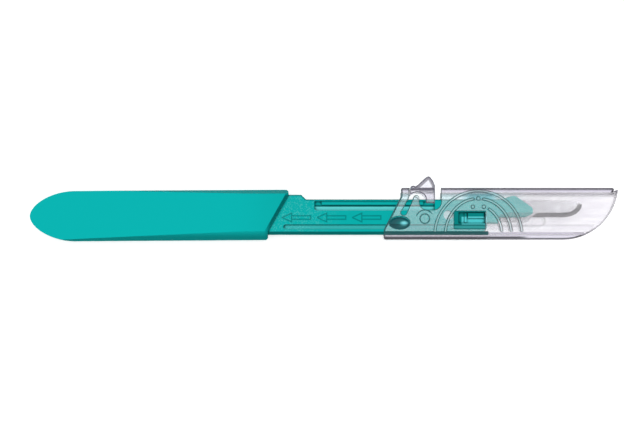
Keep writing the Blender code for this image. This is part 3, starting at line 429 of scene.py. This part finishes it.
# %% Mix the teal
TEAL = ((0.0, 0.475, 0.455), (0.0, 0.505, 0.485))
PALE_GRIP = (60.0, 80.0)
teal_layers = (
    ("grip", teal.fall(x, *PALE_GRIP) * 0.8, (0.0, 0.555, 0.54)),
    # painted glints: lighter specks on the stem near the grip
    ("speckle", glossy * glint_specks * 0.6, (0.08, 0.62, 0.58)),
    # painted shade in the engraved arrow outlines
    ("arrows", arrows * 0.6, (0.0, 0.14, 0.14)),
    # painted shade in the recess, and painted light on its middle
    ("recess", recess * (0.65 - 0.65 * recess_lit_middle), (0.0, 0.15, 0.145)),
    ("recess middle", recess_lit_middle * 0.85, (0.12, 0.76, 0.80)),
    # painted light: paler trough floors
    ("trough floors", floors, (0.16, 0.80, 0.80)),
    # painted shadow of the rail
    ("rail line", rail_shadow * 0.8, (0.0, 0.12, 0.12)),
    # painted shade on the bevels
    ("bevels", slant * dark, (0.0, 0.13, 0.125)),
    # painted shade in the inner corners
    ("inner corners", corners * (0.85 - 0.65 * lit_sides), (0.0, 0.07, 0.07)),
    # painted shade on the bump
    ("bump", dome * (0.75 + 0.25 * dome_shade), (0.0, 0.10, 0.115)),
    # painted highlight on the bump's crown
    ("crown of the bump", dome * crown * 0.9, (0.22, 0.86, 0.92)),
)
colour = teal.mix(mottle, *TEAL)
for feature, share, feature_colour in teal_layers:
    colour = teal.mix(share, colour, feature_colour)
teal.into("Base Color", colour)
teal.into("Roughness", 0.42 + grain * 0.14 - glossy * 0.14)
teal.into("Coat Weight", dome * 0.4)
teal.bump(grain * 0.15 - arrows, depth_mm=0.12, strength=0.6)
wear("handle", teal)
print("mixed in:", ", ".join(feature for feature, _, _ in teal_layers))

# %% [markdown]
# ## The steel
# The blade's flats are satin steel with a fine lengthwise grain. Round the belly it is ground to an
# edge, and that bevel looks darker, because it faces away from the light above; it is painted dark
# as shade. The blade is as thick as its box except where it is ground, so its height alone tells
# the two apart.

# %% Steel
STEEL_FLAT = ((0.29, 0.293, 0.3), (0.33, 0.333, 0.34))
STEEL_BEVEL_SHADE = ((0.02, 0.018, 0.022), (0.12, 0.115, 0.125))
STREAK_SIZE = 0.12
STREAK_STRETCH = (14, 1, 1)
GROUND_START = (0.01, 0.05)
GROUND_RISE = (0.1, 1.0)
blade_low, blade_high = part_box("blade")
blade_half = (blade_high.z - blade_low.z) / 2 / MM
steel = Paint("blade steel", Metallic=1.0)
streaks = steel.noise(STREAK_SIZE, detail=2.0, stretch=STREAK_STRETCH)
ground = 1.0 - abs(steel.place[2]) / blade_half
flat = steel.mix(streaks, *STEEL_FLAT)
# painted shade on the ground bevel, darkest near its shoulder
bevel = steel.mix(steel.step(ground, *GROUND_RISE), *STEEL_BEVEL_SHADE)
steel.into("Base Color", steel.mix(steel.step(ground, *GROUND_START), flat, bevel))
steel.into("Roughness", 0.12 + streaks * 0.08)
steel.bump(streaks, depth_mm=0.01, strength=0.3)
wear("blade", steel)
print("the blade is", round(2 * blade_half, 2), "mm thick")

# %% [markdown]
# ## The clear plastic
# The shield and its lever are clear styrene with a faint lavender tint, which shows where the eye
# looks along a wall. A rounded edge bends the light away to the dark of the room. Glass alone would
# need a darker room for that, which would dull the rest, so the slanted facets are painted with a
# dark shade, found by their normal. Shadow and diffuse rays pass straight through to the handle
# under the shield.

# %% Clear plastic
PLASTIC_IOR = 1.57
HAZE_SIZE = 1.3
HAZE_STRETCH = (7, 1, 1)
HAZE_CUT = (0.3, 0.7)
CLEAR_TILT = (0.01, 0.09)
CLEAR_UPRIGHT = (0.15, 0.35)
DEPTH_TINT = (0.35, 0.32, 0.49, 1.0)
DEPTH_DENSITY = 25.0
LIGHT_PASSED = (0.95, 0.95, 0.96, 1.0)


class ClearPlastic(Paint):
    """Clear styrene, and a painted dark shade for its slanted facets outside a half width."""

    def __init__(self, name, shade, inner_half):
        super().__init__(name, IOR=PLASTIC_IOR, Transmission_Weight=0.9)
        streaks = self.noise(HAZE_SIZE, detail=3.0, stretch=HAZE_STRETCH)
        self.haze = self.step(streaks, *HAZE_CUT)
        self.into("Roughness", 0.015 + self.haze * 0.02)
        self.level = self.levelness()
        outer = self.above(abs(self.place[2]), inner_half)
        outside = 1.0 - self.field(self.node("ShaderNodeNewGeometry"), "Backfacing")
        # painted dark shade on slanted facets, for the dark room seen through rounded edges
        self.slant = self.slanted(self.level, CLEAR_TILT, CLEAR_UPRIGHT) * outside * outer
        look = {"Base_Color": (*shade, 1.0), "Roughness": 0.3, "Specular_IOR_Level": 0.1}
        self.shade = self.node("ShaderNodeBsdfPrincipled", **look)
        depth = {"Color": DEPTH_TINT, "Density": DEPTH_DENSITY}
        self.send(self.node("ShaderNodeVolumeAbsorption", **depth), "Volume")

    def blend(self, factor, first, second):
        """A Mix Shader between the outputs of two shaders."""
        shaders = {"at1": self.field(first), "at2": self.field(second)}
        return self.node("ShaderNodeMixShader", at0=factor, **shaders)

    def cover(self, edges):
        """Lays the dark shade over the clear shader by a share, and lets the light pass."""
        path = self.node("ShaderNodeLightPath")
        passing = self.most(self.field(path, "Is Shadow Ray"), self.field(path, "Is Diffuse Ray"))
        through = self.node("ShaderNodeBsdfTransparent", Color=LIGHT_PASSED)
        seen = self.blend(edges, self.shader, self.shade)
        self.send(self.blend(passing, seen, through), "Surface")


# %% [markdown]
# ## The shield's fine lines
# A clear moulding shows thin dark lines where its fine edges bend the light away: a keel and a
# crest along its edges, a line over the cavity's upper corner, the outline of a pad, one rib, and a
# ring with an arc round the dished mark. A dark band low on its side, over the handle's lower edge,
# is a painted reflection of that teal edge. They are too fine for the mesh, so each is painted as a
# stroke where a distance is nothing, and stays on the wall. All but the band are painted shade. A
# row below holds a line's name, its stroke and how dark it is.

# %% Lines on the shield
SHIELD_SHADE = (0.06, 0.057, 0.07)
SHIELD_HALF = 3.9
INNER_HALF = 3.1
MARK = (SHIELD_REAR + 12.3, -0.9)
MARK_RING = 1.42
MARK_ARC = 2.6
CAVITY_LINE, KEEL, CREST, RIB, FOOT = 6.2, -6.5, 8.15, -2.8, -5.22
KEEL_END = (146.0, 150.0)
RIB_END = 169.0
FOOT_END = 137.3
PAD_REAR, PAD_FRONT, PAD_Y, PAD_HALF = 142.0, 152.9, -1.7, 1.33
shield = ClearPlastic("clear shield", SHIELD_SHADE, INNER_HALF)
x, y, z = shield.place
across, up = x - MARK[0], y - MARK[1]
from_mark = shield.length(across, up)
over_mark = shield.above(up, abs(across) * 0.6)
past_pad = x - shield.most(shield.least(x, PAD_FRONT), PAD_REAR)
from_pad = shield.length(past_pad, y - PAD_Y)
# painted reflection: a dark teal band over the handle's lower edge
foot = shield.stroke(y - FOOT, 0.47) * shield.below(x, FOOT_END)
shield_lines = (
    # painted shade: dark strokes where fine edges bend the light away
    ("ring", shield.stroke(from_mark - MARK_RING, 0.12), 0.55),
    ("arc", shield.stroke(from_mark - MARK_ARC, 0.08) * over_mark, 0.4),
    ("cavity_line", shield.stroke(y - CAVITY_LINE, 0.12), 0.35),
    ("keel", shield.stroke(y - KEEL, 0.18) * shield.fall(x, *KEEL_END), 0.8),
    ("crest", shield.stroke(y - CREST, 0.14), 0.8),
    ("foot", foot, 0.95),
    ("rib", shield.stroke(y - RIB, 0.06) * shield.below(x, RIB_END), 0.12),
    ("pad", shield.stroke(from_pad - PAD_HALF, 0.06), 0.22),
)
lines = shield.most(*[line * share for _, line, share in shield_lines])
print("lines:", ", ".join(name for name, _, _ in shield_lines))

# %% [markdown]
# ## The shield's edges
# The long edges are the darkest painted shade of all, and the rounded front is paler. The finger
# ridges stand proud of the wall. Their dark feet are painted shade, found by ambient occlusion, and
# their level tops get a painted light tint for the teal they gather from below.

# %% Edges and ridges
WALL_SKIN = 0.35
RIDGE_RISE = 0.2
PALE_FRONT = (163.0, 170.0)
PALE_FRONT_TOP = (7.3, 7.7)
RIDGE_TOP = (0.9, 0.98)
FOOT_REACH = 0.5
FOOT_DEPTH = (0.08, 0.3)
wall = shield.above(abs(z), SHIELD_HALF - WALL_SKIN)
front = shield.step(x, *PALE_FRONT) * shield.fall(y, *PALE_FRONT_TOP)
ridges = shield.above(abs(z), SHIELD_HALF + RIDGE_RISE) * shield.step(shield.level, *RIDGE_TOP)
# painted shade at the feet of the ridges, by ambient occlusion
ridge_feet = shield.step(shield.creases(FOOT_REACH), *FOOT_DEPTH) * wall
edges = shield.most(
    shield.slant * (0.85 - front * 0.45), lines * wall, ridge_feet * 0.85, ridges * 0.3
)
shield.cover(edges)
print("the ridges start", RIDGE_RISE, "mm over the wall")

# %% [markdown]
# ## The shield's tints
# The walls along the spine and the edge are as deep as the shield, so they look lavender: the
# plastic's own tint through that depth, painted on and darkened as shade. Over the stem the plastic
# gathers the teal and looks cyan, and the strip between the window and the spine is the deepest of
# it. Real plastic does this by bending light many times. A painted tint by place stands in for that
# light with few rays, and rides on the shield.

# %% Tints of the shield
CLEAR_TINT = ((0.99, 0.985, 0.995), (0.90, 0.885, 0.915))
CYAN_TINT = ((0.90, 1.0, 1.0), (0.80, 0.92, 0.96))
HOOD_TINT = (0.42, 0.73, 0.77)
LAVENDER = (0.66, 0.63, 0.72)
TEAL_SHADE = (0.0, 0.085, 0.09)
RIDGE_TOP_LIGHT = (0.6, 0.95, 0.95)
SPINE_WALL = (7.0, 7.3)
EDGE_WALL = (-4.9, -5.3)
CYAN_FRONT, CYAN_TOP, CYAN_FOOT = (136.0, 150.0), (6.4, 7.2), (-5.8, -5.2)
BARE_REAR, BARE_TOP = (135.5, 137.5), (-1.5, 0.0)
HOOD_REAR, HOOD_FRONT = (128.5, 133.0), (137.5, 141.5)
HOOD_FOOT, HOOD_TOP = (4.3, 5.0), (6.9, 7.5)
# painted light: a cyan tint where the plastic gathers the teal
glow = shield.fall(x, *CYAN_FRONT) * shield.fall(y, *CYAN_TOP) * shield.step(y, *CYAN_FOOT)
glow = glow * (1.0 - shield.step(x, *BARE_REAR) * shield.fall(y, *BARE_TOP))
# painted light: a deeper teal tint on the strip between the window and the spine
hood = shield.step(x, *HOOD_REAR) * shield.fall(x, *HOOD_FRONT)
hood = hood * shield.step(y, *HOOD_FOOT) * shield.fall(y, *HOOD_TOP)
# the plastic's own lavender in the deep walls, painted on and darkened as shade
deep_wall = shield.most(shield.step(y, *SPINE_WALL), 0.7 * shield.step(y, *EDGE_WALL))
tint = shield.mix(
    glow, shield.mix(shield.haze, *CLEAR_TINT), shield.mix(shield.haze, *CYAN_TINT)
)
tint = shield.mix(hood, tint, HOOD_TINT)
shield.into("Base Color", shield.mix(deep_wall, tint, LAVENDER))
# over the teal the dark strokes take a dark teal, a painted reflection of the handle
shade = shield.mix(shield.most(foot, glow), SHIELD_SHADE, TEAL_SHADE)
# painted light: a pale tint on the ridge tops
shield.feed(shield.shade.inputs["Base Color"], shield.mix(ridges, shade, RIDGE_TOP_LIGHT))
wear("blade_shield", shield)

# %% [markdown]
# ## The lever
# The thumb lever is the same plastic and looks a little more violet. Light bends so often in its
# wedge that straight dark lines show there, which few rays can't find. So each is painted as a dark
# stroke of shade between two places, given by its ends, its half width and how dark it is.

# %% The lever
LEVER_SHADE = (0.10, 0.09, 0.135)
LEVER_TINT = ((0.96, 0.95, 0.98), (0.82, 0.8, 0.87))
WEDGE_LINES = (
    ((114.4, 8.05), (121.2, 8.05), 0.25, 0.8),
    ((116.0, 8.5), (119.2, 11.4), 0.5, 0.45),
    ((119.7, 11.4), (120.9, 9.4), 0.3, 0.5),
    ((120.9, 9.4), (121.1, 7.4), 0.25, 0.5),
    ((117.0, 7.4), (121.2, 7.2), 0.3, 0.35),
)


def from_segment(paint, start, end):
    """Millimetres from the straight line between two places."""
    x, y = paint.place[:2]
    run, rise = end[0] - start[0], end[1] - start[1]
    share = ((x - start[0]) * run + (y - start[1]) * rise) / (run * run + rise * rise)
    share = paint.least(paint.most(share, 0.0), 1.0)
    return paint.length(x - (share * run + start[0]), y - (share * rise + start[1]))


lever = ClearPlastic("clear lever", LEVER_SHADE, inner_half=0.0)
flats = lever.step(lever.level, 0.5, 0.8)
edges = lever.slant * 0.85
# painted shade: dark strokes on the wedge
for start, end, half, share in WEDGE_LINES:
    line = lever.stroke(from_segment(lever, start, end), half)
    edges = lever.most(edges, flats * line * share)
lever.into("Base Color", lever.mix(lever.haze, *LEVER_TINT))
lever.cover(edges)
wear("release_lever", lever)
print(len(WEDGE_LINES), "lines on the wedge")

# %% [markdown]
# ## Table and room
# The table is white and shines a little by itself to the eye, to mirrors and through the plastic,
# so that it stays white around the scalpel and still takes its shadow. The room is bright overhead
# and dark near the horizon, which is what draws the edges of the clear plastic. More lamps could
# whiten the table too, but they would wash out the teal.

# %% Table
TABLE_SIZE = 3.0
TABLE_GAP = 0.0002
SHINE_SEEN = 0.6
SHINE_THROUGH = 0.65
bpy.ops.mesh.primitive_plane_add(size=TABLE_SIZE, location=(0, 0, -TABLE_GAP))
table = bpy.context.object
table.name = "table"
white = Net(
    "white table", Roughness=1.0, Base_Color=(0.8, 0.8, 0.8, 1.0), Specular_IOR_Level=0.0
)
table.data.materials.append(white.material)
path = white.node("ShaderNodeLightPath")
seen = white.most(white.field(path, "Is Camera Ray"), white.field(path, "Is Glossy Ray"))
through = white.field(path, "Is Transmission Ray")
white.into("Emission Color", (1.0, 1.0, 1.0, 1.0))
white.into("Emission Strength", white.most(seen * SHINE_SEEN, through * SHINE_THROUGH))
print("a table of", TABLE_SIZE, "m")

# %% Room
ZENITH = (0.0, 0.05, 1.0)
SKY_HEIGHT = (0.3, 0.95)
SKY_STRENGTH = (0.1, 1.35)
world = bpy.data.worlds.new("white room")
bpy.context.scene.world = world
world.use_nodes = True
net = world.node_tree
direction = net.nodes.new("ShaderNodeTexCoord")
height = net.nodes.new("ShaderNodeVectorMath")
height.operation = "DOT_PRODUCT"
height.inputs[1].default_value = ZENITH
net.links.new(direction.outputs["Generated"], height.inputs[0])
sky = net.nodes.new("ShaderNodeMapRange")
sky.interpolation_type = "SMOOTHSTEP"
for socket, value in zip(list(sky.inputs)[1:5], SKY_HEIGHT + SKY_STRENGTH):
    socket.default_value = value
background = net.nodes["Background"]
background.inputs["Color"].default_value = (1, 1, 1, 1)
net.links.new(height.outputs["Value"], sky.inputs[0])
net.links.new(sky.outputs[0], background.inputs["Strength"])
print("the room's strength goes from", SKY_STRENGTH[0], "to", SKY_STRENGTH[1], "overhead")

# %% [markdown]
# ## A lamp
# A bright room alone gives soft light without sparks. One small lamp, high over the blade's end,
# adds the glints. It is an area lamp, because its size sets how sharp they are.

# %% Lamp
LAMP_PLACE = Vector((0.26, 0.13, 1.3))
LAMP_TARGET = Vector((0.02, 0.0, 0.0))
LAMP_SIZE = 0.08
LAMP_RADIANCE = 14.0
glint = bpy.data.lights.new("glint", "AREA")
glint.shape = "SQUARE"
glint.size = LAMP_SIZE
glint.energy = LAMP_RADIANCE * math.pi * LAMP_SIZE * LAMP_SIZE
lamp = bpy.data.objects.new("glint", glint)
lamp.location = LAMP_PLACE
lamp.rotation_euler = (LAMP_TARGET - LAMP_PLACE).to_track_quat("-Z", "Y").to_euler()
bpy.context.scene.collection.objects.link(lamp)
print("the lamp sends", round(glint.energy, 3), "W")

# %% [markdown]
# ## The camera
# The photograph looks down on the scalpel from nearly overhead and shows it 187 mm wide. It has no
# visible perspective, so the camera stands far off with a long lens, worked out from that width.

# %% Camera
VIEW_WIDTH = 0.1872
VIEW_TARGET = Vector((-0.00346, -0.00299, 0.0042))
VIEW_TILT = math.radians(87)
VIEW_DISTANCE = 0.9
SENSOR_WIDTH = 36
NEAR_CLIP = 0.01
camera = bpy.data.cameras.new("camera")
camera.sensor_width = SENSOR_WIDTH
camera.lens = SENSOR_WIDTH * VIEW_DISTANCE / VIEW_WIDTH
camera.clip_start = NEAR_CLIP
eye = bpy.data.objects.new("camera", camera)
bpy.context.scene.collection.objects.link(eye)
way = Vector((0, -math.cos(VIEW_TILT), math.sin(VIEW_TILT)))
eye.location = VIEW_TARGET + way * VIEW_DISTANCE
eye.rotation_euler = (math.radians(90) - VIEW_TILT, 0, 0)
bpy.context.scene.camera = eye
bpy.context.scene.view_settings.view_transform = "Standard"
print("lens", round(camera.lens, 1), "mm")
